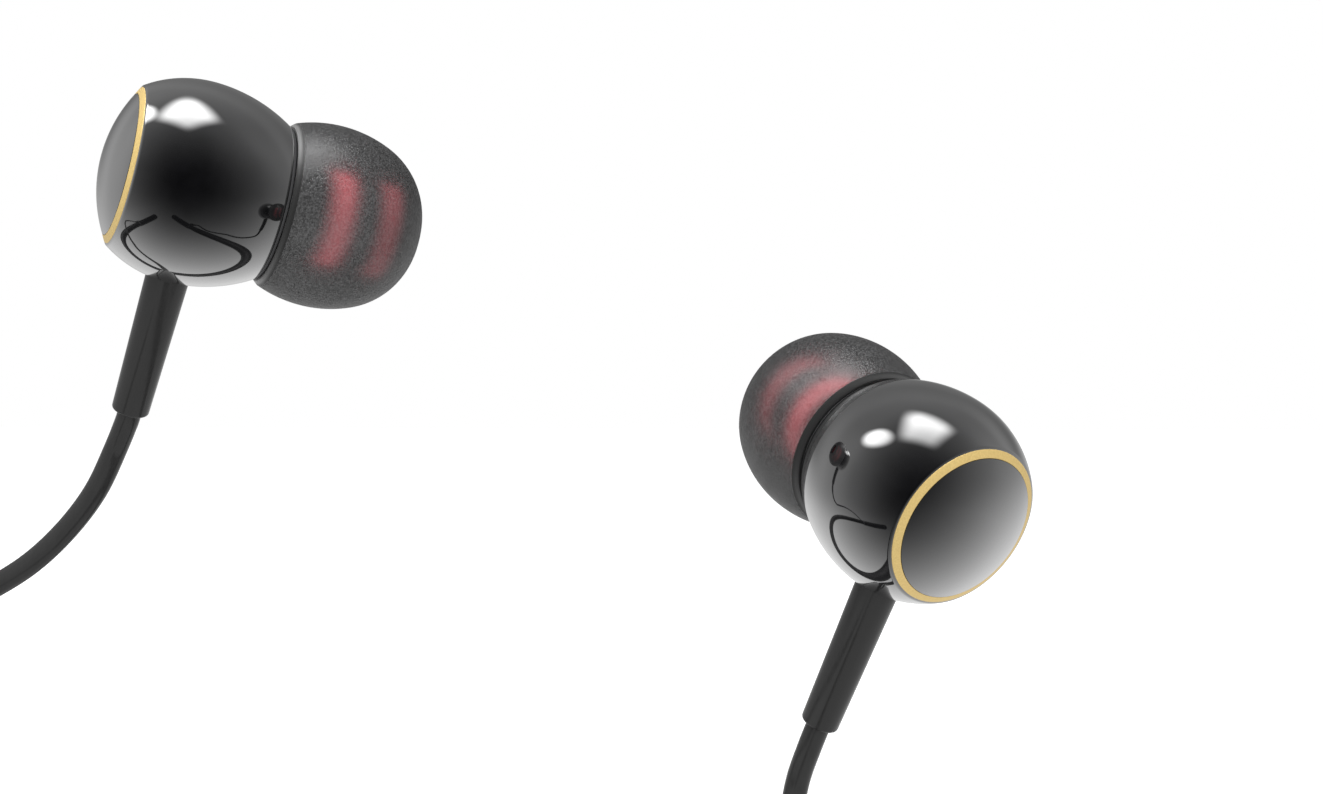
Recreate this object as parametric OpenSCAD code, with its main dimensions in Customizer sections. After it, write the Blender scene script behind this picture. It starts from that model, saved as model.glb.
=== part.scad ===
// Neckband earphones: two glossy ear buds on short cords that run to a
// horseshoe neckband with two round-ended arms.
// Origin: inner back of the neckband, where it rests on the neck.
// X to the right, -Y to the open front, Z up. Millimetres.

/* [Bud shell] */
// Greatest radius of the bud shell
belly_r = 7.08; // [6.9:0.02:7.3]
// Height of the belly above the rear ring plane
belly_z = 4.6; // [4.4:0.05:4.8]
// Radius of the shell's rear arc
rear_arc_r = 7.66; // [7.4:0.02:8]
// Radius of the shell's front arc
front_arc_r = 10.55; // [10:0.05:11]
// Length of the shell
shell_len = 10.05; // [9.8:0.05:10.4]
// Wall of the shell
shell_wall = 0.7; // [0.6:0.02:0.76]
// Rise of the rear cap's dome
dome_rise = 1.23; // [0.8:0.01:1.4]

/* [Nozzle and tip] */
// Thickness of the front flange
flange_t = 0.2; // [0.15:0.05:0.3]
// Length of the nozzle
nozzle_len = 5.75; // [5.4:0.05:6.2]
// Radius of the nozzle's tube
nozzle_r = 2.45; // [2.35:0.05:2.6]
// Radius of the nozzle's barb
barb_r = 2.85; // [2.7:0.05:2.9]
// Bore of the nozzle, as a radius
nozzle_bore_r = 1.9; // [1.7:0.05:2]
// Greatest radius of the ear tip
tip_r = 6.56; // [6.3:0.02:6.8]
// Thickness of the tip's skirt
skirt_t = 0.45; // [0.35:0.05:0.6]
// Outer radius of the tip's core
core_r = 3.5; // [3.3:0.05:3.6]

/* [Cords] */
// Cord diameter
cord_d = 1.68; // [1.5:0.02:1.7]
// Length of the sleeve outside the shell
sleeve_len = 10.77; // [9.5:0.05:12]
// Radius of the sleeve at the shell
sleeve_r = 1.5; // [1.4:0.05:1.6]

/* [Neckband] */
// Outer radius of the flexible band
band_r = 3.6; // [3.4:0.05:3.8]
// Bore of the band, as a radius
band_bore_r = 2.2; // [2.1:0.05:2.4]
// Length of an arm
arm_len = 56; // [54:0.5:60]
// Radius of an arm where the band meets it
arm_root_r = 4.4; // [4.3:0.05:4.6]
// Radius of an arm's round end
arm_end_r = 6; // [5.8:0.05:6.4]
// Wall of an arm's shells
arm_wall = 1.1; // [0.9:0.05:1.2]
// Droop of the arms, in degrees
arm_tilt = 20.5; // [15:0.5:25]
// Turn of the arms toward each other, in degrees
toe_in = 21; // [15:0.5:25]

/* [Controls and battery] */
// Radius of a button
button_r = 1.9; // [1.6:0.05:2]
// How far a button stands proud
button_proud = 0.3; // [0.2:0.05:0.5]
// Spacing of the buttons
button_step = 8.5; // [7:0.5:9]
// Radius of the battery cell
cell_r = 3.5; // [3.2:0.05:3.55]
// Length of the battery cell
cell_len = 27; // [20:0.5:28]

/* [Hidden] */
$fn = 48;
fit = 0.05;            // radial clearance of pieces that slip together
eps = 0.5;             // how far a cutter runs past what it cuts

// where each bud hangs, and how it is turned: local Z runs cap to tip,
// local X runs out along the cord sleeve
bud_at = [[17.9, -35.72, 57.02], [73.72, -39, 33.19]];
bud_turn = [[114.6, 61.4, 144.2], [15.2, 64.4, 143.7]];

// bud shell
belly_rear = [belly_r - rear_arc_r, belly_z];
belly_front = [belly_r - front_arc_r, belly_z];
rear_r = belly_rear[0] + sqrt(pow(rear_arc_r, 2) - pow(belly_z, 2));
front_r = belly_front[0] + sqrt(pow(front_arc_r, 2) - pow(shell_len - belly_z, 2));
seat_depth = 0.8;      // counterbore for the ring
seat_r = rear_r - 0.4;
mouth_wall = 0.4;      // shell wall at its front mouth
mouth_r = front_r - mouth_wall;
port_z = belly_z + 0.13; // where the sleeve's axis leaves the bud's axis
sleeve_lean = 0.7;     // the sleeve leans toward the tip, in degrees
port_r = 1.1;

// rear ring and cap
ring_edge_r = rear_r - 0.125;
ring_rise = 0.42;
ring_in_r = ring_edge_r - 0.5;
ring_skirt_r = seat_r - 0.03;
ring_skirt_in = ring_skirt_r - 0.37;
ring_lip = 0.12;
cap_r = ring_in_r - 0.02;
cap_edge = 0.3;        // rise of the dome's edge, a little under the ring's
cap_plug_r = ring_skirt_in - 0.03;
cap_wall = 0.6;
cap_depth = 0.9;
dome_r = (pow(cap_r, 2) + pow(dome_rise, 2)) / (2 * dome_rise);
dome_z = dome_r - dome_rise - cap_edge;

// front cover
flange_r = front_r - 0.06;
flange_top_r = front_r - 0.14;
plug_r = mouth_r - fit;
plug_wall = 0.37;
plug_in_r = plug_r - plug_wall;
driver_back = 1.45;    // the driver lies this far behind the shell's front end
driver_top = shell_len - driver_back;
driver_h = 2.4;
plug_len = 2.45;
flange_z = shell_len + flange_t;
front_wall = 0.7;
chamber_r = plug_in_r - 0.53;
nozzle_top = flange_z + nozzle_len;
mesh_r = nozzle_bore_r + 0.25;
mesh_depth = 0.5;
mesh_t = 0.3;
barb_len = 1.6;
damper_t = 0.8;

// driver
frame_r = plug_in_r - 0.03;
yoke_r = 3.6;
yoke_wall = 0.5;
yoke_len = 2.7;
plate_t = 0.6;
magnet_h = 1.4;
magnet_r = 2.5;
plate_r = 2.6;
coil_in_r = 2.78;
coil_r = 2.95;
coil_h = 2.3;
cone_t = 0.1;
cone_lip = 0.6;        // how far the diaphragm lies under the frame's top
cone_rise = 0.5;
frame_bottom = driver_top - driver_h;
cone_z = driver_top - cone_lip - cone_t;
yoke_top = frame_bottom + plate_t + 0.1;
yoke_bottom = yoke_top - yoke_len;
board_r = 2.6;
board_t = 0.7;

// ear tip: a mid arc, a front arc and a rear bead, each tangent to the next
tip_gap = 0.05;        // how far the skirt stands off the flange
tip_base = flange_z + tip_gap;
tip_mid_r = 8.8;
tip_front_r = 5.7;
tip_bead_r = 0.45;
tip_mid_rise = 3.69;
tip_mid = [tip_r - tip_mid_r, tip_base + tip_mid_rise];
tip_front_dz = 1.15;
tip_bead_dz = tip_bead_r - tip_mid_rise;
tip_front = tip_mid + [leg(tip_mid_r - tip_front_r, tip_front_dz), tip_front_dz];
tip_bead = tip_mid + [leg(tip_mid_r - tip_bead_r, tip_bead_dz), tip_bead_dz];
tip_front_z = tip_mid[1] + tip_front_dz * tip_mid_r / (tip_mid_r - tip_front_r);
tip_bead_z = tip_mid[1] + tip_bead_dz * tip_mid_r / (tip_mid_r - tip_bead_r);
tip_inner_z = tip_mid[1] + tip_front_dz * (tip_mid_r - skirt_t) / (tip_mid_r - tip_front_r);
tip_mouth_r = 2.3;
tip_crown = 4.16;      // depth of the skirt's hollow in front of its front arc's centre
tip_cavity_z = tip_front[1] + tip_crown;
core_inset = 0.21;
core_base = tip_base + core_inset;
core_bore_r = barb_r + fit;
core_gap = 0.3;        // between the nozzle's end and the core's seat
core_seat = nozzle_top + core_gap;
rib_h = 0.45;
rib_w = 1.65;
rib_gap = 3.4;
rib_back = 3;          // from the core's rear end to the middle of its first rib
rib_first = core_base + rib_back;

// cord sleeve and tail, along the bud's local X
sleeve_at = belly_r + 0.02;
sleeve_top_r = 1.15;
sleeve_chamfer = 0.35;
sleeve_end_r = 1.31;
sleeve_round = 0.45;
neck_r = port_r - fit;
sleeve_flange_r = 1.7;
sleeve_flange = [shell_in_x(sleeve_flange_r) - 0.85, shell_in_x(sleeve_flange_r) - 0.12];
sleeve_end = sleeve_at + sleeve_len;
sleeve_bore_r = cord_d / 2 + 0.02;
tail_r = cord_d / 2 - 0.01;
tail_at = yoke_r + 0.4;
crimp_r = 1.2;
crimp = [tail_at + 0.4, sleeve_flange[0] - 0.1];
lead_r = 0.18;
lead_gap = 0.45;

// neckband: a cubic curve for each half, then the arm's straight axis
joint_at = [38.34, -82.17, -16.52];
band_reach = 79.5;
band_pull = 29.6;
band_rings = 20;
band_end = 1;          // the band runs straight this far before a collar
band_sides = 12;
wire_r = 0.8;
lead_at = 1.45;
band_lead_r = 0.45;
wire_sides = 8;
wire_past = 3;         // how far the wires run into an arm

// collar between band and arm
collar_t = 1.2;
collar_r = arm_root_r - 0.2;
spigot_r = 2.6;
spigot_len = 4;
spigot_ring_r = arm_root_r - arm_wall - 0.2;
spigot_ring_t = 0.8;
rear_wall = 2.5;

// arm shells
arm_straight = arm_len - arm_end_r;
post_r = 1.7;
post_at = [7, arm_straight + 1];
post_reach = 0.3;
pilot_r = 0.7;
pilot_len = 2.9;
hole_r = 0.8;
head_r = 1.3;
head_h = 0.8;
head_y = 3.6;
screw_r = 0.68;
screw_len = 6.4;
drive_w = 0.3;
drive_depth = 0.3;
rib_t = 1;
reach = 40;            // a cutter of this size takes in a whole arm

// boss and strain relief where the cord enters an arm
boss_x = arm_root_r + 0.7;
boss_z = 3;
boss_turn = 155;
boss_r = 2.4;
boss_len = 2.2;
relief_bore_r = 1.72;
relief_r = 1.7;
relief_flange_r = 2.1;
relief_flange_t = 0.7;
relief_len = 7;
relief_end_r = 1.2;
relief_tail = 3;
relief_tail_r = 1;

// right arm: board, switches and buttons
board_w = 6.4;
board_th = 1;
board_top = 0.4;
board_z = [12, arm_straight - 2.5];
switch_size = [3, 0.8, 3];
plunger_r = 0.7;
plunger_h = 0.4;
first_button = 20;
button_fit = 0.08;
button_flange_r = button_r + 0.4;
button_flange_t = 0.5;
button_gap = 0.5;
press_travel = 0.4;
button_flange_y = leg(arm_in(first_button), button_flange_r) - 0.3;
button_foot_y = board_top + switch_size[1] + plunger_h + button_gap;
led_z = board_z[1] - 2;
led_r = 0.6;
led_h = 0.5;
port_size = [2.8, 7.6];
port_back = 9;         // from the start of the arm's round end to the port's middle
port_mid = arm_straight - port_back;
port_wall = 0.3;
port_deep = 3.9;
port_sink = 0.35;
tongue = [0.7, 5.4];
chip = [4.2, 0.9, 5];
chip_back = 11.5;      // the chip lies this far behind the port's middle
chip_z = port_mid - chip_back;
board_ribs = [13.4, chip_z - 3, board_z[1] - 1.8];
mic_size = [2.2, 1, 3];
mic_z = 16;
mic_hole_r = 0.4;

// left arm: cell and its board
cell_ribs = [4, cell_len - 5];
cell_board = [5.4, 0.8, 6.5];
cell_gap = 1;          // between the cell and its board
cell_spare = post_at[1] - post_at[0] - 2 * post_r - cell_len - cell_board[2] - cell_gap;
cell_board_z = post_at[0] + post_r + cell_spare / 2;
cell_at = cell_board_z + cell_board[2] + cell_gap;

// free cords, from the bud's sleeve to the arm's strain relief
left_route = [
  [13.6, -27.2, 37.6], [11.9, -26.9, 34.4], [9.8, -27.1, 31.6],
  [7.4, -27.7, 29.2], [4.7, -28.3, 27.4], [1.4, -29.2, 25.7],
  [-2.5, -30.5, 24], [-6, -32.5, 23], [-9, -35, 22], [-12.5, -37.5, 21],
  [-15.5, -40, 20], [-18.5, -42.5, 19], [-21.5, -45, 17.5], [-25, -47.5, 16],
  [-28, -50, 14.5], [-31, -52, 13], [-34, -54.5, 11.5], [-37, -57, 9.5],
  [-40, -59.5, 7.5], [-42.5, -62, 5.5], [-44.5, -65, 3], [-46, -68, 0],
  [-47, -71, -3], [-48, -73.5, -6], [-49, -76, -9], [-49.5, -78.5, -11.7]];
right_route = [
  [64.1, -30.3, 17.3], [63.3, -29.6, 14.8], [62.8, -29.6, 11.6],
  [62.8, -31.1, 7.8], [62.3, -34, 4], [61, -37, 2], [59.5, -41, 0.5],
  [58.5, -45, -0.5], [57.5, -49, -1.5], [56, -52.5, -3], [54.5, -56, -5],
  [53.2, -59, -6.8], [52, -62.5, -8.7], [50.9, -66, -10.2], [50.2, -70, -11.4],
  [50, -74, -12.4], [49.8, -77.6, -13.4]];
cord_sides = 8;
lead_in = 0.6;         // straight length of a cord at the bud's sleeve
lead_out = 2.5;        // and at the arm's strain relief

LEFT = 0;
RIGHT = 1;

// ---- helpers ----

function leg(hyp, other) = sqrt(pow(hyp, 2) - pow(other, 2));
function sgn(side) = side == LEFT ? -1 : 1;

// inner radius of the shell at height z
function shell_in(z) = z < belly_z
  ? belly_rear[0] + leg(rear_arc_r - shell_wall, z - belly_z)
  : belly_front[0] + leg(front_arc_r - shell_wall, z - belly_z);

// how far out along X a disc of radius r fits inside the shell at the port
function shell_in_x(r) = min(leg(shell_in(port_z), r), shell_in(port_z + r),
  leg(shell_in(port_z + r * 0.7), r * 0.7), shell_in(port_z - r));

function turn_x(v, a) = [v[0], v[1] * cos(a) - v[2] * sin(a), v[1] * sin(a) + v[2] * cos(a)];
function turn_y(v, a) = [v[0] * cos(a) + v[2] * sin(a), v[1], v[2] * cos(a) - v[0] * sin(a)];
function turn_z(v, a) = [v[0] * cos(a) - v[1] * sin(a), v[0] * sin(a) + v[1] * cos(a), v[2]];
function turned(v, a) = turn_z(turn_y(turn_x(v, a[0]), a[1]), a[2]);
function bud_point(side, p) = bud_at[side] + turned(p, bud_turn[side]);
function joint(side) = [sgn(side) * joint_at[0], joint_at[1], joint_at[2]];
function arm_point(side, p) =
  joint(side) + turned(p, [90 + arm_tilt, 0, -sgn(side) * toe_in]);
function unit(v) = v / norm(v);

module in_bud(side) translate(bud_at[side]) rotate(bud_turn[side]) children();
module in_arm(side)
  translate(joint(side)) rotate([90 + arm_tilt, 0, -sgn(side) * toe_in]) children();
module along_port() translate([0, 0, port_z]) rotate([0, 90 - sleeve_lean, 0]) children();
module up_at(z) translate([0, 0, z]) rotate([-90, 0, 0]) children();
module down_at(z) translate([0, 0, z]) rotate([90, 0, 0]) children();

// part of a disc in the profile plane, between two heights
module arc_zone(r, at, z0, z1) intersection() {
  translate(at) circle(r = r);
  translate([0, z0]) square([2 * r, z1 - z0]);
}

// a box of half width w centred on the arm's axis in x
module block(w, y0, y1, z0, z1) translate([-w, y0, z0]) cube([2 * w, y1 - y0, z1 - z0]);

// solid tube along a path; ref is a direction that the path never follows
function path_dir(p, i) = unit(p[min(i + 1, len(p) - 1)] - p[max(i - 1, 0)]);
function path_side(p, i, ref) = unit(cross(path_dir(p, i), ref));
function path_up(p, i, ref) = cross(path_side(p, i, ref), path_dir(p, i));
module sweep(path, r, sides, ref, shift = 0) {
  last = len(path) - 1;
  points = [for (i = [0:last]) for (k = [0:sides - 1])
    path[i] + path_side(path, i, ref) * (shift + r * cos(360 * k / sides))
    + path_up(path, i, ref) * r * sin(360 * k / sides)];
  walls = [for (i = [0:last - 1]) for (k = [0:sides - 1])
    let (a = i * sides + k, b = i * sides + (k + 1) % sides)
    each [[a, b, a + sides], [b, b + sides, a + sides]]];
  head = [for (k = [1:sides - 2]) [0, k + 1, k]];
  tail = [for (k = [1:sides - 2]) [0, k, k + 1] + [1, 1, 1] * last * sides];
  polyhedron(points = points, faces = concat(walls, head, tail));
}

// ---- bud ----

module shell_outline(inset, z0, z1) {
  arc_zone(rear_arc_r - inset, belly_rear, z0, belly_z);
  arc_zone(front_arc_r - inset, belly_front, belly_z, z1);
}

module housing_form() difference() {
  rotate_extrude() difference() {
    shell_outline(0, 0, shell_len);
    shell_outline(shell_wall, -eps, shell_len + eps);
    translate([0, -eps]) square([seat_r, seat_depth + eps]);
    translate([0, driver_top]) square([mouth_r, shell_len]);
  }
  along_port() translate([0, 0, shell_in(port_z) - eps])
    cylinder(h = shell_wall + 2 * eps, r = port_r);
}

module ring_form() rotate_extrude() polygon([
  [ring_in_r, -ring_rise], [ring_edge_r, -0.04], [ring_edge_r, 0],
  [ring_skirt_r, 0], [ring_skirt_r, seat_depth], [ring_skirt_in, seat_depth],
  [ring_skirt_in, -ring_lip], [ring_in_r, -ring_lip]]);

module cap_form() rotate_extrude() difference() {
  union() {
    arc_zone(dome_r, [0, dome_z], -2 * dome_rise, -cap_edge);
    translate([0, -cap_edge]) square([cap_r, cap_edge - ring_lip]);
    translate([0, -cap_edge]) square([cap_plug_r, cap_depth + cap_edge]);
  }
  intersection() {
    arc_zone(dome_r - cap_wall, [0, dome_z], -2 * dome_rise, cap_depth + eps);
    translate([0, -2 * dome_rise])
      square([cap_plug_r - cap_wall, 2 * dome_rise + cap_depth + eps]);
  }
}

module cover_form() rotate_extrude() polygon([
  [nozzle_bore_r, flange_z - front_wall], [chamber_r, flange_z - front_wall],
  [chamber_r, driver_top], [plug_in_r, driver_top],
  [plug_in_r, shell_len - plug_len], [plug_r, shell_len - plug_len],
  [plug_r, shell_len], [flange_r, shell_len], [flange_top_r, flange_z],
  [nozzle_r, flange_z], [nozzle_r, nozzle_top - barb_len],
  [barb_r, nozzle_top - barb_len + 0.3], [barb_r, nozzle_top - 0.5],
  [barb_r - 0.3, nozzle_top], [mesh_r, nozzle_top],
  [mesh_r, nozzle_top - mesh_depth], [nozzle_bore_r, nozzle_top - mesh_depth]]);

module mesh_form() translate([0, 0, nozzle_top - mesh_depth])
  cylinder(h = mesh_t, r = mesh_r - 0.05);

module damper_form() translate([0, 0, flange_z + 0.2])
  cylinder(h = damper_t, r = nozzle_bore_r - 0.05);

module frame_form() rotate_extrude() polygon([
  [yoke_r + 0.02, frame_bottom], [yoke_r + 0.8, frame_bottom],
  [frame_r, shell_len - plug_len], [frame_r, driver_top],
  [frame_r - 0.3, driver_top], [frame_r - 0.3, cone_z],
  [frame_r - 0.7, cone_z], [yoke_r + 0.4, yoke_top], [yoke_r + 0.02, yoke_top]]);

module yoke_form() translate([0, 0, yoke_bottom]) difference() {
  cylinder(h = yoke_len, r = yoke_r);
  translate([0, 0, yoke_len - magnet_h - plate_t])
    cylinder(h = yoke_len, r = yoke_r - yoke_wall);
}

module magnet_form() translate([0, 0, yoke_top - magnet_h - plate_t]) {
  cylinder(h = magnet_h, r = magnet_r);
  translate([0, 0, magnet_h]) cylinder(h = plate_t, r = plate_r);
}

module coil_form() translate([0, 0, cone_z - coil_h]) difference() {
  cylinder(h = coil_h, r = coil_r);
  translate([0, 0, -eps]) cylinder(h = coil_h + 2 * eps, r = coil_in_r);
}

module diaphragm_form() {
  r = (pow(coil_r, 2) + pow(cone_rise, 2)) / (2 * cone_rise);
  at = [0, cone_z + cone_t + cone_rise - r];
  rotate_extrude() {
    translate([coil_r - 0.1, cone_z]) square([frame_r - 0.35 - coil_r + 0.1, cone_t]);
    difference() {
      arc_zone(r, at, cone_z, driver_top + 1);
      arc_zone(r - cone_t, at, cone_z - eps, driver_top + 1);
    }
  }
}

module terminal_form() translate([0, 0, yoke_bottom - board_t])
  cylinder(h = board_t, r = board_r);

module core_form() rotate_extrude() difference() {
  union() {
    translate([0, core_base]) square([core_r, tip_cavity_z - core_base]);
    for (z = [rib_first, rib_first + rib_gap])
      translate([0, z - rib_w / 2]) square([core_r + rib_h, rib_w]);
  }
  translate([0, core_base - eps]) square([core_bore_r, core_seat - core_base + eps]);
  square([tip_mouth_r, tip_cavity_z + eps]);
}

module tip_form() rotate_extrude() difference() {
  union() {
    arc_zone(tip_mid_r, tip_mid, tip_bead_z, tip_front_z);
    arc_zone(tip_front_r, tip_front, tip_front_z, tip_front[1] + tip_front_r);
    arc_zone(tip_bead_r, tip_bead, tip_bead[1] - tip_bead_r, tip_bead_z);
  }
  arc_zone(tip_mid_r - skirt_t, tip_mid, tip_base - eps, tip_inner_z);
  arc_zone(tip_front_r - skirt_t, tip_front, tip_inner_z, tip_cavity_z);
  square([tip_mouth_r, tip_front[1] + tip_front_r + eps]);
}

module sleeve_form() along_port() rotate_extrude() polygon([
  [sleeve_bore_r, sleeve_flange[0]], [sleeve_flange_r, sleeve_flange[0]],
  [sleeve_flange_r, sleeve_flange[1]], [neck_r, sleeve_flange[1]],
  [neck_r, sleeve_at], [sleeve_top_r, sleeve_at],
  [sleeve_r, sleeve_at + sleeve_chamfer],
  [sleeve_end_r, sleeve_end - sleeve_round],
  [sleeve_end_r - 0.12, sleeve_end - 0.12],
  [sleeve_end_r - 0.3, sleeve_end], [sleeve_bore_r, sleeve_end]]);

module tail_form() along_port() {
  translate([0, 0, tail_at]) cylinder(h = sleeve_end - tail_at, r = tail_r);
  translate([0, 0, crimp[0]]) cylinder(h = crimp[1] - crimp[0], r = crimp_r);
  foot = port_z - yoke_bottom + board_t + lead_r;
  for (y = [-lead_gap, lead_gap]) {
    translate([0, y, tail_at + lead_r]) rotate([0, 90, 0])
      cylinder(h = foot + lead_r, r = lead_r);
    translate([foot, y, board_r - 0.8])
      cylinder(h = tail_at - board_r + 0.8 + 2 * lead_r, r = lead_r);
  }
}

// ---- neckband ----

function half_band(t) = let (
    p0 = [0, band_r, 0], p1 = [band_reach, band_r, 0],
    p2 = arm_point(RIGHT, [0, 0, -collar_t - band_pull]),
    p3 = arm_point(RIGHT, [0, 0, -collar_t]), s = 1 - t)
  s * s * s * p0 + 3 * s * s * t * p1 + 3 * s * t * t * p2 + t * t * t * p3;
function mirrored(p) = [-p[0], p[1], p[2]];
right_half = concat(
  [for (i = [1:band_rings - 1]) half_band(i / band_rings)],
  [for (d = [band_end, 0]) arm_point(RIGHT, [0, 0, -collar_t - d])]);
left_half = [for (i = [0:band_rings]) mirrored(right_half[band_rings - i])];
band_path = concat(left_half, [half_band(0)], right_half);
// the same path with straight ends that run on by d
function band_run(d) = concat(
  [arm_point(LEFT, [0, 0, d - collar_t])], band_path,
  [arm_point(RIGHT, [0, 0, d - collar_t])]);

module band_form() difference() {
  sweep(band_path, band_r, band_sides, [0, 0, 1]);
  sweep(band_run(eps), band_bore_r, band_sides, [0, 0, 1]);
}

module leads_form() for (x = [-lead_at, lead_at])
  sweep(band_run(collar_t + wire_past), band_lead_r, wire_sides, [0, 0, 1], x);

module collar_form() difference() {
  union() {
    translate([0, 0, -collar_t]) cylinder(h = collar_t, r = collar_r);
    cylinder(h = spigot_len, r = spigot_r);
    translate([0, 0, rear_wall]) cylinder(h = spigot_ring_t, r = spigot_ring_r);
  }
  for (x = [-lead_at, lead_at]) translate([x, 0, -collar_t - eps])
    cylinder(h = spigot_len + collar_t + 2 * eps, r = band_lead_r + fit);
  translate([0, 0, -collar_t - eps])
    cylinder(h = spigot_len + collar_t + 2 * eps, r = wire_r + fit);
}

// ---- arms ----

function arm_out(z) = arm_root_r + (arm_end_r - arm_root_r) * z / arm_straight;
function arm_in(z) = arm_out(z) - arm_wall;

module arm_form(inset) {
  cylinder(h = arm_straight, r1 = arm_root_r - inset, r2 = arm_end_r - inset);
  translate([0, 0, arm_straight]) sphere(r = arm_end_r - inset);
}

module slab(inset, z0, z1) intersection() {
  arm_form(inset);
  translate([0, 0, z0]) cylinder(h = z1 - z0, r = 2 * arm_end_r);
}

module half(side_y) translate([-reach / 2, side_y > 0 ? 0 : -reach, -reach / 2])
  cube([reach, reach, arm_len + reach]);
// the part of an arm's lower half that lies more than y under its axis plane
module under(y) translate([-reach / 2, -reach / 2 - y, 0]) cube([reach, reach / 2, arm_len]);

module at_boss(side) translate([sgn(side) * boss_x, 0, boss_z])
  rotate([0, sgn(side) * boss_turn, 0]) children();

module arm_shell(side) difference() {
  union() {
    arm_form(0);
    at_boss(side) {
      sphere(r = boss_r);
      cylinder(h = boss_len, r = boss_r);
    }
  }
  slab(arm_wall, rear_wall, arm_len);
  translate([0, 0, -eps]) cylinder(h = rear_wall + 2 * eps, r = spigot_r + fit);
  at_boss(side) {
    cylinder(h = boss_len + eps, r = relief_bore_r);
    translate([0, 0, -relief_tail - 1]) cylinder(h = relief_tail + 2, r = relief_tail_r);
  }
}

module cell_cradle() difference() {
  for (z = cell_ribs) slab(arm_wall / 2, cell_at + z, cell_at + z + rib_t);
  translate([0, 0, cell_at - eps]) cylinder(h = cell_len + 2 * eps, r = cell_r + fit);
}

module upper_form(side) difference() {
  union() {
    intersection() {
      union() {
        arm_shell(side);
        if (side == LEFT) cell_cradle();
      }
      half(1);
    }
    for (z = post_at) up_at(z) cylinder(h = arm_in(min(z, arm_straight)) + post_reach, r = post_r);
  }
  for (z = post_at) up_at(z) translate([0, 0, -eps]) cylinder(h = pilot_len + eps, r = pilot_r);
  if (side == RIGHT) {
    for (i = [0:2]) up_at(button_z(i)) translate([0, 0, 1])
      cylinder(h = arm_end_r, r = button_r + button_fit);
    up_at(led_z) translate([0, 0, 1]) cylinder(h = arm_end_r, r = led_r + fit);
  }
}

module lower_form(side) difference() {
  union() {
    intersection() {
      union() {
        arm_shell(side);
        if (side == LEFT) {
          cell_cradle();
          intersection() {
            slab(arm_wall / 2, cell_board_z + 2, cell_board_z + 2 + rib_t);
            under(cell_board[1]);
          }
        }
        if (side == RIGHT) intersection() {
          for (z = board_ribs) slab(arm_wall / 2, z, z + rib_t);
          under(board_th - board_top);
        }
      }
      half(-1);
    }
    for (z = post_at) down_at(z)
      cylinder(h = arm_in(min(z, arm_straight)) + post_reach, r = post_r);
  }
  for (z = post_at) down_at(z) {
    translate([0, 0, -eps]) cylinder(h = head_y + 2 * eps, r = hole_r);
    translate([0, 0, head_y]) cylinder(h = arm_end_r, r = head_r + 0.1);
  }
  if (side == RIGHT) {
    block(port_size[0] / 2 + 0.1, -2 * arm_end_r, board_top - board_th - 1.2,
      port_mid - port_size[1] / 2 - 0.1, port_mid + port_size[1] / 2 + 0.1);
    down_at(mic_z + mic_size[2] / 2) translate([0, 0, 1])
      cylinder(h = arm_end_r, r = mic_hole_r);
  }
}

module relief_form() rotate_extrude() polygon([
  [0, -relief_tail], [tail_r, -relief_tail], [tail_r, 0], [relief_r, 0],
  [relief_r, boss_len], [relief_flange_r, boss_len],
  [relief_flange_r, boss_len + relief_flange_t],
  [relief_r - 0.05, boss_len + relief_flange_t],
  [relief_end_r, relief_len - 0.3], [relief_end_r - 0.2, relief_len],
  [0, relief_len]]);

module screw_form() {
  difference() {
    translate([0, 0, head_y]) cylinder(h = head_h, r = head_r);
    for (a = [0, 90]) rotate([0, 0, a])
      translate([-head_r * 0.6, -drive_w / 2, head_y + head_h - drive_depth])
        cube([head_r * 1.2, drive_w, 1]);
  }
  translate([0, 0, head_y - screw_len]) cylinder(h = screw_len, r = screw_r);
}

// ---- what the arms hold ----

function button_z(i) = first_button + i * button_step;

module button_form(i) up_at(button_z(i)) {
  top = arm_out(button_z(i)) + button_proud;
  translate([0, 0, button_foot_y]) cylinder(h = button_flange_y - button_foot_y, r = 1);
  translate([0, 0, button_flange_y - button_flange_t])
    cylinder(h = button_flange_t, r = button_flange_r);
  translate([0, 0, button_flange_y - 0.1])
    cylinder(h = top - button_flange_y + 0.1, r = button_r);
}

module switch_form(i) {
  block(switch_size[0] / 2, board_top, board_top + switch_size[1],
    button_z(i) - switch_size[2] / 2, button_z(i) + switch_size[2] / 2);
  up_at(button_z(i)) translate([0, 0, board_top + switch_size[1] - 0.1])
    cylinder(h = plunger_h + 0.1, r = plunger_r);
}

module main_board_form() {
  block(board_w / 2, board_top - board_th, board_top, board_z[0], board_z[1]);
  block(0.8, board_top - 0.1, board_top + led_h, led_z - 0.5, led_z + 0.5);
  block(chip[0] / 2, board_top - board_th - chip[1], board_top - board_th + 0.1,
    chip_z, chip_z + chip[2]);
}

module port_form() {
  y0 = -arm_out(port_mid) + port_sink;
  half_w = port_size[0] / 2;
  half_l = port_size[1] / 2;
  difference() {
    block(half_w, y0, board_top - board_th, port_mid - half_l, port_mid + half_l);
    block(half_w - port_wall, y0 - eps, y0 + port_deep,
      port_mid - half_l + port_wall, port_mid + half_l - port_wall);
  }
  block(tongue[0] / 2, y0 + 0.6, y0 + port_deep + 0.1,
    port_mid - tongue[1] / 2, port_mid + tongue[1] / 2);
}

// ---- nodes: buds ----

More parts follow.
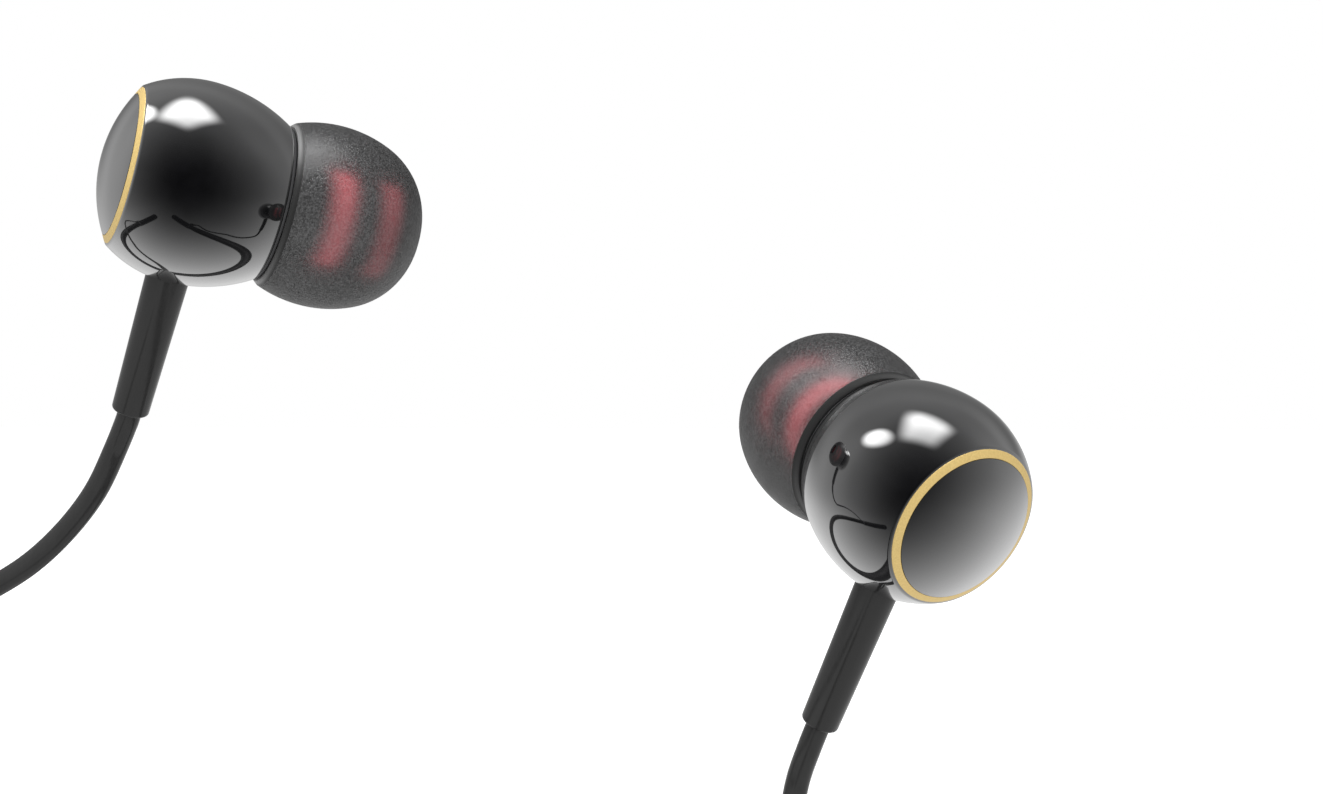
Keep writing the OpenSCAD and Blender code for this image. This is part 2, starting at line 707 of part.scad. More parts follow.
module rear_cap(side) color("#15161a") in_bud(side) cap_form();
module gold_ring(side) color("#d8b36a") in_bud(side) ring_form();
module housing(side) color("#202126") in_bud(side) housing_form();
module front_cover(side) color("#303136") in_bud(side) cover_form();
module nozzle_mesh(side) color("#8d9094") in_bud(side) mesh_form();
module damper(side) color("#b9b4a6") in_bud(side) damper_form();
module driver_frame(side) color("#4f535a") in_bud(side) frame_form();
module magnet(side) color("#a7abb2") in_bud(side) magnet_form();
module yoke(side) color("#8f949c") in_bud(side) yoke_form();
module voice_coil(side) color("#b8732f") in_bud(side) coil_form();
module diaphragm(side) color("#d9c9a0") in_bud(side) diaphragm_form();
module terminal_board(side) color("#2e6b45") in_bud(side) terminal_form();
module tip_core(side) color("#a02028") in_bud(side) core_form();
module ear_tip(side) color("#2b2b2e") in_bud(side) tip_form();
module cord_sleeve(side) color("#3a3a3c") in_bud(side) sleeve_form();
module cable_tail(side) color("#47474a") in_bud(side) tail_form();

// ---- nodes: cords ----

function sleeve_out(side, d) = bud_point(side,
  [0, 0, port_z] + turn_y([sleeve_end + d, 0, 0], -sleeve_lean));
function relief_out(side, d) = arm_point(side, [sgn(side) * boss_x, 0, boss_z]
  + turn_y([0, 0, relief_len + d], sgn(side) * boss_turn));
function cord_path(side, route) = concat(
  [sleeve_out(side, 0), sleeve_out(side, lead_in)], route,
  [relief_out(side, lead_out), relief_out(side, 0)]);
module left_cord() color("#3f3f42")
  sweep(cord_path(LEFT, left_route), cord_d / 2, cord_sides, [0, 1, 0]);
module right_cord() color("#3f3f42")
  sweep(cord_path(RIGHT, right_route), cord_d / 2, cord_sides, [1, 0, 0]);

// ---- nodes: neckband ----

module band_sleeve() color("#2a2a2c") band_form();
module spring_wire() color("#b4b7bc")
  sweep(band_run(collar_t + wire_past), wire_r, wire_sides, [0, 0, 1]);
module band_leads() color("#7a2f2a") leads_form();
module arm_upper(side) color("#242428") in_arm(side) upper_form(side);
module arm_lower(side) color("#2e2e33") in_arm(side) lower_form(side);
module band_collar(side) color("#55575c") in_arm(side) collar_form();
module strain_relief(side) color("#38383a") in_arm(side) at_boss(side) relief_form();
module battery_cell() color("#9aa3ad") in_arm(LEFT)
  translate([0, 0, cell_at]) cylinder(h = cell_len, r = cell_r);
module battery_board() color("#2e6b45") in_arm(LEFT)
  block(cell_board[0] / 2, -cell_board[1], 0, cell_board_z, cell_board_z + cell_board[2]);
module main_board() color("#2e6b45") in_arm(RIGHT) main_board_form();
module tact_switches() color("#c9ccd0") in_arm(RIGHT) for (i = [0:2]) switch_form(i);
module button_rear() color("#3d3e43") in_arm(RIGHT) button_form(0);
module button_mid() color("#3d3e43") in_arm(RIGHT) button_form(1);
module button_front() color("#3d3e43") in_arm(RIGHT) button_form(2);
module charge_port() color("#c4c6ca") in_arm(RIGHT) port_form();
module microphone() color("#c8b070") in_arm(RIGHT)
  block(mic_size[0] / 2, board_top - board_th - mic_size[1], board_top - board_th,
    mic_z, mic_z + mic_size[2]);
module light_pipe() color("#e6e8ea") in_arm(RIGHT) up_at(led_z)
  translate([0, 0, board_top + led_h + 0.1])
    cylinder(h = arm_out(led_z) - board_top - led_h - 0.15, r = led_r);
module shell_screws() color("#9b9ea3")
  for (side = [LEFT, RIGHT]) in_arm(side) for (z = post_at) down_at(z) screw_form();

rear_cap(LEFT);  // left_rear_cap
gold_ring(LEFT);  // left_gold_ring
housing(LEFT);  // left_housing
front_cover(LEFT);  // left_front_cover
nozzle_mesh(LEFT);  // left_nozzle_mesh
damper(LEFT);  // left_damper
driver_frame(LEFT);  // left_driver_frame
magnet(LEFT);  // left_magnet
yoke(LEFT);  // left_yoke
voice_coil(LEFT);  // left_voice_coil
diaphragm(LEFT);  // left_diaphragm
terminal_board(LEFT);  // left_terminal_board
tip_core(LEFT);  // left_tip_core
ear_tip(LEFT);  // left_ear_tip
cord_sleeve(LEFT);  // left_cord_sleeve
cable_tail(LEFT);  // left_cable_tail
rear_cap(RIGHT);  // right_rear_cap
gold_ring(RIGHT);  // right_gold_ring
housing(RIGHT);  // right_housing
front_cover(RIGHT);  // right_front_cover
nozzle_mesh(RIGHT);  // right_nozzle_mesh
damper(RIGHT);  // right_damper
driver_frame(RIGHT);  // right_driver_frame
magnet(RIGHT);  // right_magnet
yoke(RIGHT);  // right_yoke
voice_coil(RIGHT);  // right_voice_coil
diaphragm(RIGHT);  // right_diaphragm
terminal_board(RIGHT);  // right_terminal_board
tip_core(RIGHT);  // right_tip_core
ear_tip(RIGHT);  // right_ear_tip
cord_sleeve(RIGHT);  // right_cord_sleeve
cable_tail(RIGHT);  // right_cable_tail
left_cord();
right_cord();
band_sleeve();
spring_wire();
band_leads();
arm_upper(LEFT);  // left_arm_upper
arm_lower(LEFT);  // left_arm_lower
band_collar(LEFT);  // left_band_collar
strain_relief(LEFT);  // left_strain_relief
arm_upper(RIGHT);  // right_arm_upper
arm_lower(RIGHT);  // right_arm_lower
band_collar(RIGHT);  // right_band_collar
strain_relief(RIGHT);  // right_strain_relief
battery_cell();
battery_board();
main_board();
tact_switches();
button_rear();
button_mid();
button_front();
charge_port();
microphone();
light_pipe();
shell_screws();
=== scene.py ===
"""Looks of the neckband earphones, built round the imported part.

Blender works in metres, Z up, in the part's own frame. The sizes below are
written in millimetres and go through MM where geometry is made.
"""

import math

import bmesh
import bpy
from mathutils import Euler, Matrix, Vector


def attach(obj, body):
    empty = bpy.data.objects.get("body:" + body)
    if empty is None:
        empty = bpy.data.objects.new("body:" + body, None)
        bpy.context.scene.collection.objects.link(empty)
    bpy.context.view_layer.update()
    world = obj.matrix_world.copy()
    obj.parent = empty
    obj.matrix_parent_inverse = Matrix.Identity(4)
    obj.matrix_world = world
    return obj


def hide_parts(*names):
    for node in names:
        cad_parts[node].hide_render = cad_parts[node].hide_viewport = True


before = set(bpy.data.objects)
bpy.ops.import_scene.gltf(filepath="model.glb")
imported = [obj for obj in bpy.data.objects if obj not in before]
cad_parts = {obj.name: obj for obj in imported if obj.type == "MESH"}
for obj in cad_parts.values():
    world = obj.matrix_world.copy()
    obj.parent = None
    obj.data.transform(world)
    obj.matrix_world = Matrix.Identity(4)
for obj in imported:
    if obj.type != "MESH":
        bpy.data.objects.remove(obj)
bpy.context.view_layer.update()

MM = 0.001
SIDES = ("left", "right")
SIGN = {"left": -1, "right": 1}


# ---- sizes that the construction fixes, in millimetres ----

BUD_AT = {"left": (17.9, -35.72, 57.02), "right": (73.72, -39, 33.19)}
BUD_TURN = {"left": (114.6, 61.4, 144.2), "right": (15.2, 64.4, 143.7)}

BELLY_R, BELLY_Z = 7.08, 4.6
REAR_ARC_R, FRONT_ARC_R = 7.66, 10.55
SHELL_LEN, SHELL_WALL, MOUTH_WALL = 10.05, 0.7, 0.4
DOME_RISE, CAP_EDGE = 1.23, 0.3
FLANGE_Z = SHELL_LEN + 0.2
NOZZLE_TOP = FLANGE_Z + 5.75
NOZZLE_R, BARB_R, NOZZLE_BORE_R = 2.45, 2.85, 1.9
TIP_R, SKIRT_T, CORE_R = 6.56, 0.45, 3.2
CORD_D = 1.68
PORT_Z = BELLY_Z + 0.13
SLEEVE_LEAN = 0.7
SLEEVE_AT = BELLY_R + 0.02
SLEEVE_END = SLEEVE_AT + 10.77
SLEEVE_R, SLEEVE_END_R = 1.5, 1.31
BAND_R, BAND_BORE_R = 3.6, 2.2
BAND_REACH, BAND_PULL = 79.5, 29.6
COLLAR_T = 1.2
ARM_ROOT_R, ARM_END_R, ARM_STRAIGHT = 4.4, 6, 50
JOINT_AT = (38.34, -82.17, -16.52)
ARM_TILT, TOE_IN = 20.5, 21
BOSS_X, BOSS_Z, BOSS_TURN = 5.1, 3, 155
BOSS_R, RELIEF_R, RELIEF_LEN = 2.1, 1.65, 7
BUTTONS = (("rear", 20), ("mid", 28.5), ("front", 37))
BUTTON_R, BUTTON_PROUD = 1.9, 0.3

# free cords, from the bud's sleeve to the arm's strain relief
LEFT_ROUTE = [
    (13.6, -27.2, 37.6), (11.9, -26.9, 34.4), (9.8, -27.1, 31.6),
    (7.4, -27.7, 29.2), (4.7, -28.3, 27.4), (1.4, -29.2, 25.7),
    (-2.5, -30.5, 24), (-6, -32.5, 23), (-9, -35, 22), (-12.5, -37.5, 21),
    (-15.5, -40, 20), (-18.5, -42.5, 19), (-21.5, -45, 17.5), (-25, -47.5, 16),
    (-28, -50, 14.5), (-31, -52, 13), (-34, -54.5, 11.5), (-37, -57, 9.5),
    (-40, -59.5, 7.5), (-42.5, -62, 5.5), (-44.5, -65, 3), (-46, -68, 0),
    (-47, -71, -3), (-48, -73.5, -6), (-49, -76, -9), (-49.5, -78.5, -11.7)]
RIGHT_ROUTE = [
    (64.1, -30.3, 17.3), (63.3, -29.6, 14.8), (62.8, -29.6, 11.6),
    (62.8, -31.1, 7.8), (62.3, -34, 4), (61, -37, 2), (59.5, -41, 0.5),
    (58.5, -45, -0.5), (57.5, -49, -1.5), (56, -52.5, -3), (54.5, -56, -5),
    (53.2, -59, -6.8), (52, -62.5, -8.7), (50.9, -66, -10.2), (50.2, -70, -11.4),
    (50, -74, -12.4), (49.8, -77.6, -13.4)]
LEAD_IN, LEAD_OUT = 0.6, 2.5


def arc(centre, radius, z_from, z_to, steps):
    """Points of the arc on the outer side of centre, from one height to another."""
    start, end = [math.asin((z - centre[1]) / radius) for z in (z_from, z_to)]
    angles = [start + (end - start) * k / steps for k in range(steps + 1)]
    return [(centre[0] + radius * math.cos(a), centre[1] + radius * math.sin(a)) for a in angles]


BELLY_REAR = (BELLY_R - REAR_ARC_R, BELLY_Z)
BELLY_FRONT = (BELLY_R - FRONT_ARC_R, BELLY_Z)
REAR_R = arc(BELLY_REAR, REAR_ARC_R, 0, 0.1, 1)[0][0]
FRONT_R = arc(BELLY_FRONT, FRONT_ARC_R, SHELL_LEN, SHELL_LEN - 0.1, 1)[0][0]
SEAT_R, SEAT_DEPTH = REAR_R - 0.4, 0.8
RING_OUT, RING_IN, RING_RISE = REAR_R - 0.125, REAR_R - 0.625, 0.29
CAP_R = RING_IN - 0.02
MOUTH_R = FRONT_R - MOUTH_WALL
DRIVER_TOP = SHELL_LEN - 1.45

# the tip's side is an arc about MID, and its front one about FRONT_C
TIP_BASE = FLANGE_Z + 0.05
MID_R, FRONT_TIP_R = 8.8, 5.7
MID_RISE, FRONT_DZ = 3.69, 1.15
MID = (TIP_R - MID_R, TIP_BASE + MID_RISE)
FRONT_C = (MID[0] + math.sqrt((MID_R - FRONT_TIP_R) ** 2 - FRONT_DZ ** 2), MID[1] + FRONT_DZ)
TIP_MOUTH_R = 2.3
EDGE_Z = TIP_BASE + 0.36
CAVITY_Z = FRONT_C[1] + 4.16
CORE_BASE = TIP_BASE + 0.21
RIB_Z = (CORE_BASE + 3.95, CORE_BASE + 7.35)
RIB_W, RIB_H = 1.65, 0.1


def turn(angles):
    """Rotation of OpenSCAD's rotate([x, y, z])."""
    return Euler([math.radians(a) for a in angles], "XYZ").to_matrix().to_4x4()


def bud_frame(side):
    """Z runs along the bud, from the rear edge of its shell to the tip."""
    return Matrix.Translation(Vector(BUD_AT[side]) * MM) @ turn(BUD_TURN[side])


def port_frame(side):
    """Z runs out along the cord sleeve, from the bud's axis."""
    at = Matrix.Translation((0, 0, PORT_Z * MM))
    return bud_frame(side) @ at @ turn((0, 90 - SLEEVE_LEAN, 0))


def arm_frame(side):
    """Z runs along the arm, from the band's joint to the round end. -Y is its upper side."""
    at = Vector((SIGN[side] * JOINT_AT[0], JOINT_AT[1], JOINT_AT[2]))
    return Matrix.Translation(at * MM) @ turn((90 + ARM_TILT, 0, -SIGN[side] * TOE_IN))


def relief_frame(side):
    """Z runs out along the arm's strain relief."""
    at = Matrix.Translation((SIGN[side] * BOSS_X * MM, 0, BOSS_Z * MM))
    return arm_frame(side) @ at @ turn((0, SIGN[side] * BOSS_TURN, 0))


def arm_out(z):
    """Outer radius of an arm's straight part."""
    return ARM_ROOT_R + (ARM_END_R - ARM_ROOT_R) * z / ARM_STRAIGHT


# ---- camera ----

CAMERA_AT = (64.54, -143.5, 41.32)
CAMERA_TURN = 5.34     # degrees to the left of +Y
FOCAL_PX, FRAME_PX = 1648, 1323
SENSOR = 36


def make_camera():
    data = bpy.data.cameras.new("camera")
    data.sensor_width = SENSOR
    data.lens = SENSOR * FOCAL_PX / FRAME_PX
    data.clip_start, data.clip_end = 0.005, 20
    camera = bpy.data.objects.new("camera", data)
    camera.location = Vector(CAMERA_AT) * MM
    camera.rotation_euler = (math.radians(90), 0, math.radians(CAMERA_TURN))
    bpy.context.scene.collection.objects.link(camera)
    bpy.context.scene.camera = camera


# ---- node tools ----

GLOSS_CURVE = 1.5
WHITE = (1, 1, 1)
SMOOTH = "SMOOTHSTEP"


class Tree:
    """Short calls to add and link the nodes of one tree."""

    def __init__(self, tree):
        self.tree = tree

    def add(self, kind, **settings):
        node = self.tree.nodes.new("ShaderNode" + kind)
        for key, value in settings.items():
            setattr(node, key, value)
        return node

    def link(self, source, target):
        self.tree.links.new(source, target)

    def put(self, value, socket):
        """Links another node's output to the socket, or sets its number or colour."""
        if isinstance(value, bpy.types.NodeSocket):
            self.link(value, socket)
        elif isinstance(value, tuple) and len(value) == 3 and socket.type == "RGBA":
            socket.default_value = (*value, 1)
        else:
            socket.default_value = value

    def math(self, operation, *values):
        node = self.add("Math", operation=operation)
        for socket, value in zip(node.inputs, values):
            self.put(value, socket)
        return node.outputs[0]

    def vector(self, operation, *values):
        node = self.add("VectorMath", operation=operation)
        for socket, value in zip(node.inputs, values):
            self.put(value, socket)
        return node.outputs["Value" if operation == "LENGTH" else "Vector"]

    def split(self, vector):
        node = self.add("SeparateXYZ")
        self.link(vector, node.inputs[0])
        return node.outputs

    def spread(self, source, low, high, from_low=0.3, from_high=0.7, kind="LINEAR"):
        """source's range from_low..from_high, mapped to low..high. A noise's middle by default."""
        node = self.add("MapRange", interpolation_type=kind)
        for name, value in (("From Min", from_low), ("From Max", from_high),
                            ("To Min", low), ("To Max", high)):
            node.inputs[name].default_value = value
        self.link(source, node.inputs["Value"])
        return node.outputs["Result"]

    def blend(self, factor, a, b):
        """Colour between a and b."""
        node = self.add("Mix", data_type="RGBA")
        self.link(factor, node.inputs["Factor"])
        colours = [s for s in node.inputs if s.type == "RGBA"]
        self.put(a, colours[0])
        self.put(b, colours[1])
        return [s for s in node.outputs if s.type == "RGBA"][0]

    def ramp(self, source, stops):
        """Smooth grey curve through (place, value) stops."""
        node = self.add("ValToRGB")
        curve = node.color_ramp
        curve.interpolation = "B_SPLINE"
        curve.elements.remove(curve.elements[-1])
        for k, (place, value) in enumerate(stops):
            stop = curve.elements[0] if k == 0 else curve.elements.new(place)
            stop.position = place
            stop.color = (value, value, value, 1)
        self.link(source, node.inputs["Fac"])
        return node.outputs["Color"]


class Shader(Tree):
    """A material's nodes, with its Principled BSDF as main."""

    def __init__(self, name):
        self.material = bpy.data.materials.new(name)
        self.material.use_nodes = True
        super().__init__(self.material.node_tree)
        self.main = self.tree.nodes["Principled BSDF"]
        self.output = self.tree.nodes["Material Output"]

    def set(self, **sockets):
        for name, value in sockets.items():
            self.put(value, self.main.inputs[name.replace("_", " ")])

    def surface(self, shader):
        self.link(shader, self.output.inputs["Surface"])

    def place(self):
        """The piece's own coordinates, in metres."""
        return self.add("TexCoord").outputs["Object"]

    def height(self):
        """Distance along the piece's own Z, in metres."""
        return self.split(self.place())["Z"]

    def noise(self, scale, detail=3, stretch=None, rough=0.5):
        node = self.add("TexNoise")
        node.inputs["Scale"].default_value = scale
        node.inputs["Detail"].default_value = detail
        node.inputs["Roughness"].default_value = rough
        source = self.place()
        if stretch:
            mapping = self.add("Mapping")
            mapping.inputs["Scale"].default_value = stretch
            self.link(source, mapping.inputs["Vector"])
            source = mapping.outputs["Vector"]
        self.link(source, node.inputs["Vector"])
        return node.outputs["Fac"]

    def bump(self, height, strength, distance):
        node = self.add("Bump")
        self.put(strength, node.inputs["Strength"])
        node.inputs["Distance"].default_value = distance
        self.link(height, node.inputs["Height"])
        return node.outputs["Normal"]

    def facing(self):
        """0 where the surface faces the view, 1 at its limb, rising late as a gloss does."""
        edge = self.add("LayerWeight")
        edge.inputs["Blend"].default_value = 0.5
        return self.math("POWER", edge.outputs["Facing"], GLOSS_CURVE)

    def lobe(self, kind, **sockets):
        """Another kind of BSDF, with its sockets set or linked."""
        node = self.add(kind)
        for name, value in sockets.items():
            self.put(value, node.inputs[name])
        return node.outputs["BSDF"]

    def mix_shader(self, factor, a, b):
        node = self.add("MixShader")
        self.link(factor, node.inputs["Fac"])
        self.link(a, node.inputs[1])
        self.link(b, node.inputs[2])
        return node.outputs["Shader"]


def gloss_black(name):
    """Black lacquer that mirrors more and more towards its limb."""
    s = Shader(name)
    haze = s.noise(900, 2)
    s.set(Roughness=0.35, Specular_IOR_Level=0.0,
          Base_Color=s.blend(s.spread(haze, 0, 1), (0.004, 0.004, 0.0045), (0.006, 0.006, 0.00675)))
    mirror = s.lobe("BsdfGlossy", Color=WHITE, Roughness=s.spread(haze, 0.025, 0.05))
    s.surface(s.mix_shader(s.facing(), s.main.outputs["BSDF"], mirror))
    return s.material


def gold(name):
    s = Shader(name)
    grain = s.noise(9000, 4)
    s.set(Metallic=0.25, Specular_IOR_Level=0.6, Roughness=s.spread(grain, 0.34, 0.5),
          Base_Color=s.blend(s.spread(grain, 0, 1), (0.66, 0.47, 0.16), (0.78, 0.57, 0.21)),
          Normal=s.bump(grain, 0.25, 0.02 * MM))
    return s.material


TIP_CLEAR = 0.58     # share of the near wall that a look passes
TIP_LIT = 0.8        # share of the light that each wall lets through
TIP_IOR = 1.1


def silicone(name, dark, light, edge_z):
    """Grainy dark skirt, smooth behind edge_z. Its near wall lets the core glow through."""
    s = Shader(name)
    inner = s.add("Attribute", attribute_name="inner").outputs["Fac"]
    rays = s.add("LightPath").outputs
    back = s.add("NewGeometry").outputs["Backfacing"]
    front = s.math("SUBTRACT", 1, back)
    # light passes every wall; a look passes the near one
    light_ray = s.math("MAXIMUM", rays["Is Shadow Ray"], rays["Is Diffuse Ray"])
    look, lit = s.math("SUBTRACT", 1, light_ray), s.math("MULTIPLY", light_ray, TIP_LIT)

    grainy = s.spread(s.height(), 0, 1, edge_z - 0.02 * MM, edge_z + 0.02 * MM)
    grain = s.noise(6500, 2, rough=0.6)
    normal = s.bump(grain, s.math("MULTIPLY", grainy, 0.9), 0.06 * MM)
    speckle = s.spread(grain, 0.15, 1, 0.4, 0.62)
    tone = s.math("MULTIPLY", s.math("MULTIPLY", grainy, front), speckle)
    rough = s.math("ADD", s.math("MULTIPLY", s.spread(grain, 0.24, 0.36), grainy),
                   s.spread(grainy, 0.5, 0.1, 0, 1))
    s.set(IOR=1.5, Specular_IOR_Level=0.3, Base_Color=s.blend(tone, dark, light),
          Roughness=rough, Normal=normal, Alpha=s.math("SUBTRACT", 1, lit))

    # the wall blurs what is behind it
    first = s.math("MULTIPLY", s.math("LESS_THAN", rays["Transparent Depth"], 0.5), front)
    clear = s.math("MULTIPLY", first, s.math("MULTIPLY", grainy, TIP_CLEAR))
    haze = s.lobe("BsdfRefraction", Color=WHITE, Roughness=1, IOR=TIP_IOR)
    skin = s.mix_shader(s.math("MULTIPLY", clear, look), s.main.outputs["BSDF"], haze)

    # a soft sheen, stronger on the smooth edge's rear
    gloss = s.lobe("BsdfGlossy", Color=WHITE, Roughness=s.spread(grainy, 0.5, 0.27, 0, 1),
                   Normal=normal)
    limb = s.spread(s.height(), 0.4, 0.09, edge_z - 0.22 * MM, edge_z - 0.08 * MM)
    shine = s.math("ADD", s.math("MULTIPLY", s.facing(), limb), s.math("MULTIPLY", grainy, 0.019))
    outside = s.mix_shader(s.math("MULTIPLY", shine, front), skin, gloss)

    # the hollow's face: clear on the way in, black behind
    entry = s.math("MULTIPLY", s.math("LESS_THAN", rays["Transparent Depth"], 1.5), back)
    hole = s.math("ADD", s.math("MULTIPLY", entry, look), lit)
    inside = s.mix_shader(hole, s.lobe("BsdfDiffuse", Color=(0.006, 0.006, 0.006)),
                          s.lobe("BsdfTransparent"))
    s.surface(s.mix_shader(inner, outside, inside))
    return s.material


def ribbed_core(name, body, rib):
    """Nearly black core whose ribs are red, with a soft grainy border. The rear rib is stronger."""
    s = Shader(name)
    wobble = s.math("MULTIPLY", s.math("SUBTRACT", s.noise(8000, 4, rough=0.75), 0.5), 1.1 * MM)
    z = s.math("ADD", s.height(), wobble)
    bands = []
    for at, strength, reach in zip(RIB_Z, (1, 0.5), (1.35, 1.15)):
        off = s.math("ABSOLUTE", s.math("SUBTRACT", z, at * MM))
        bands.append(s.spread(off, strength, 0, 0.25 * MM, reach * MM))
    s.set(Roughness=0.6, Specular_IOR_Level=0.1,
          Base_Color=s.blend(s.math("MAXIMUM", *bands), body, rib),
          Normal=s.bump(s.noise(6000), 0.3, 0.02 * MM))
    return s.material


def plastic(name, dark, light, roughness):
    """Moulded plastic with a fine spark-eroded grain."""
    s = Shader(name)
    grain = s.noise(5000)
    s.set(Base_Color=s.blend(s.spread(s.noise(220, 2), 0, 1), dark, light),
          Roughness=s.spread(grain, roughness - 0.06, roughness + 0.08),
          Normal=s.bump(grain, 0.35, 0.02 * MM))
    return s.material


def rubber(name, dark, light):
    """Cord jacket: dark rubber with a thin gloss and faint lengthwise drawing marks."""
    s = Shader(name)
    grain = s.noise(3500)
    lines = s.noise(1400, 2, stretch=(1, 1, 0.04))
    s.set(Specular_IOR_Level=0.22, Roughness=s.spread(grain, 0.1, 0.18),
          Base_Color=s.blend(s.spread(lines, 0, 1), dark, light),
          Normal=s.bump(grain, 0.1, 0.005 * MM))
    return s.material


def metal(name, colour):
    s = Shader(name)
    grain = s.noise(2500, stretch=(1, 1, 0.15))
    s.set(Metallic=1.0, Roughness=s.spread(grain, 0.22, 0.4),
          Base_Color=s.blend(s.spread(grain, 0, 1), tuple(c * 0.85 for c in colour), colour),
          Normal=s.bump(grain, 0.1, 0.01 * MM))
    return s.material


# ---- mesh tools ----

def object_of(name, mesh, matrix=None):
    piece = bpy.data.objects.new(name, mesh)
    bpy.context.scene.collection.objects.link(piece)
    if matrix is not None:
        piece.matrix_world = matrix
    return piece


def finished(mesh, sharp=32):
    """Outward normals, and smooth shading between faces flatter than sharp degrees."""
    work = bmesh.new()
    work.from_mesh(mesh)
    bmesh.ops.recalc_face_normals(work, faces=work.faces)
    work.to_mesh(mesh)
    work.free()
    mesh.shade_smooth()
    mesh.set_sharp_from_angle(angle=math.radians(sharp))
    mesh.update()
    return mesh


def rounded(points, steps=5):
    """A closed outline whose points (r, z, corner) get rounded corners; (r, z) stays as it is."""
    out = []
    for i, p in enumerate(points):
        here = Vector(p[:2])
        if len(p) == 2:
            out.append(tuple(here))
            continue
        back = Vector(points[i - 1][:2]) - here
        on = Vector(points[(i + 1) % len(points)][:2]) - here
        cut = p[2] / math.tan(back.angle(on) / 2)
        cut = min(cut, 0.49 * back.length, 0.49 * on.length)
        start, end = here + back.normalized() * cut, here + on.normalized() * cut
        for k in range(steps + 1):
            t = k / steps
            out.append(tuple((1 - t) ** 2 * start + 2 * t * (1 - t) * here + t * t * end))
    return out


def lathe(name, outline, matrix, segments=160, sharp=32):
    """Solid of revolution about Z from a closed outline of (r, z) points in millimetres."""
    verts, rows = [], []
    for r, z in outline:
        if r < 1e-6:
            rows.append([len(verts)] * segments)
            verts.append((0, 0, z * MM))
            continue
        rows.append(list(range(len(verts), len(verts) + segments)))
        for k in range(segments):
            a = 2 * math.pi * k / segments
            verts.append((r * MM * math.cos(a), r * MM * math.sin(a), z * MM))
    faces = []
    for i, row in enumerate(rows):
        nxt = rows[(i + 1) % len(rows)]
        for k in range(segments):
            j = (k + 1) % segments
            corners = [row[k], row[j], nxt[j], nxt[k]]
            corners = [c for n, c in enumerate(corners) if c not in corners[:n]]
            if len(corners) > 2:
                faces.append(corners)
    mesh = bpy.data.meshes.new(name)
    mesh.from_pydata(verts, [], faces)
    return object_of(name, finished(mesh, sharp), matrix)


def smooth_path(points, step):
    """Centripetal Catmull-Rom curve through the points, sampled every step."""
    p = [Vector(q) for q in points]
    p = [2 * p[0] - p[1], *p, 2 * p[-1] - p[-2]]
    out = []
    for i in range(1, len(p) - 2):
        a, b, c, d = p[i - 1:i + 3]
        t0 = 0.0
        t1 = t0 + math.sqrt((b - a).length)
        t2 = t1 + math.sqrt((c - b).length)
        t3 = t2 + math.sqrt((d - c).length)
        count = max(1, round((c - b).length / step))
        for k in range(count):
            t = t1 + (t2 - t1) * k / count
            ab = a * (t1 - t) / (t1 - t0) + b * (t - t0) / (t1 - t0)
            bc = b * (t2 - t) / (t2 - t1) + c * (t - t1) / (t2 - t1)
            cd = c * (t3 - t) / (t3 - t2) + d * (t - t2) / (t3 - t2)
            abc = ab * (t2 - t) / (t2 - t0) + bc * (t - t0) / (t2 - t0)
            bcd = bc * (t3 - t) / (t3 - t1) + cd * (t - t1) / (t3 - t1)
            out.append(abc * (t2 - t) / (t2 - t1) + bcd * (t - t1) / (t2 - t1))
    out.append(p[-2])
    return out


def tube(name, path, radii, sides):
    """Closed tube along path, in metres. radii gives its walls' radii, the outer first."""
    count, layers = len(path), len(radii)
    direction = [(path[min(i + 1, count - 1)] - path[max(i - 1, 0)]).normalized()
                 for i in range(count)]
    side = direction[0].orthogonal().normalized()
    verts = []
    for i in range(count):
        side = (side - direction[i] * side.dot(direction[i])).normalized()
        up = direction[i].cross(side)
        for radius in radii:
            for k in range(sides):
                a = 2 * math.pi * k / sides
                verts.append(path[i] + radius * (math.cos(a) * side + math.sin(a) * up))

    def at(i, layer, k):
        return (i * layers + layer) * sides + k % sides

    faces = [(at(i, layer, k), at(i, layer, k + 1), at(i + 1, layer, k + 1), at(i + 1, layer, k))
             for layer in range(layers) for i in range(count - 1) for k in range(sides)]
    for i in (0, count - 1):
        if layers == 1:
            faces.append([at(i, 0, k) for k in range(sides)])
        else:
            faces += [(at(i, 0, k), at(i, 0, k + 1), at(i, 1, k + 1), at(i, 1, k))
                      for k in range(sides)]
    mesh = bpy.data.meshes.new(name)
    mesh.from_pydata(verts, [], faces)
    wrap_uv(mesh, path, sides, layers)
    return object_of(name, finished(mesh, 40))


def wrap_uv(mesh, path, sides, layers):
    """U runs round a tube and V along it, in metres."""
    along = mesh.uv_layers.new(name="UVMap")
    far = [0.0]
    for a, b in zip(path, path[1:]):
        far.append(far[-1] + (b - a).length)
    for poly in mesh.polygons:
        columns = [mesh.loops[l].vertex_index % sides for l in poly.loop_indices]
        wraps = max(columns) - min(columns) > 1
        for l, column in zip(poly.loop_indices, columns):
            ring = mesh.loops[l].vertex_index // (sides * layers)
            u = (column + (sides if wraps and column == 0 else 0)) / sides
            along.data[l].uv = (u, far[ring])


def dress(piece, material, body, *nodes, slot=None):
    """Gives a new piece its material and its body, and hides the CAD nodes that it stands for."""
    piece.data.materials.clear()
    piece.data.materials.append(material)
    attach(piece, body)
    if nodes:
        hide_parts(*nodes)
    return piece


# ---- materials ----

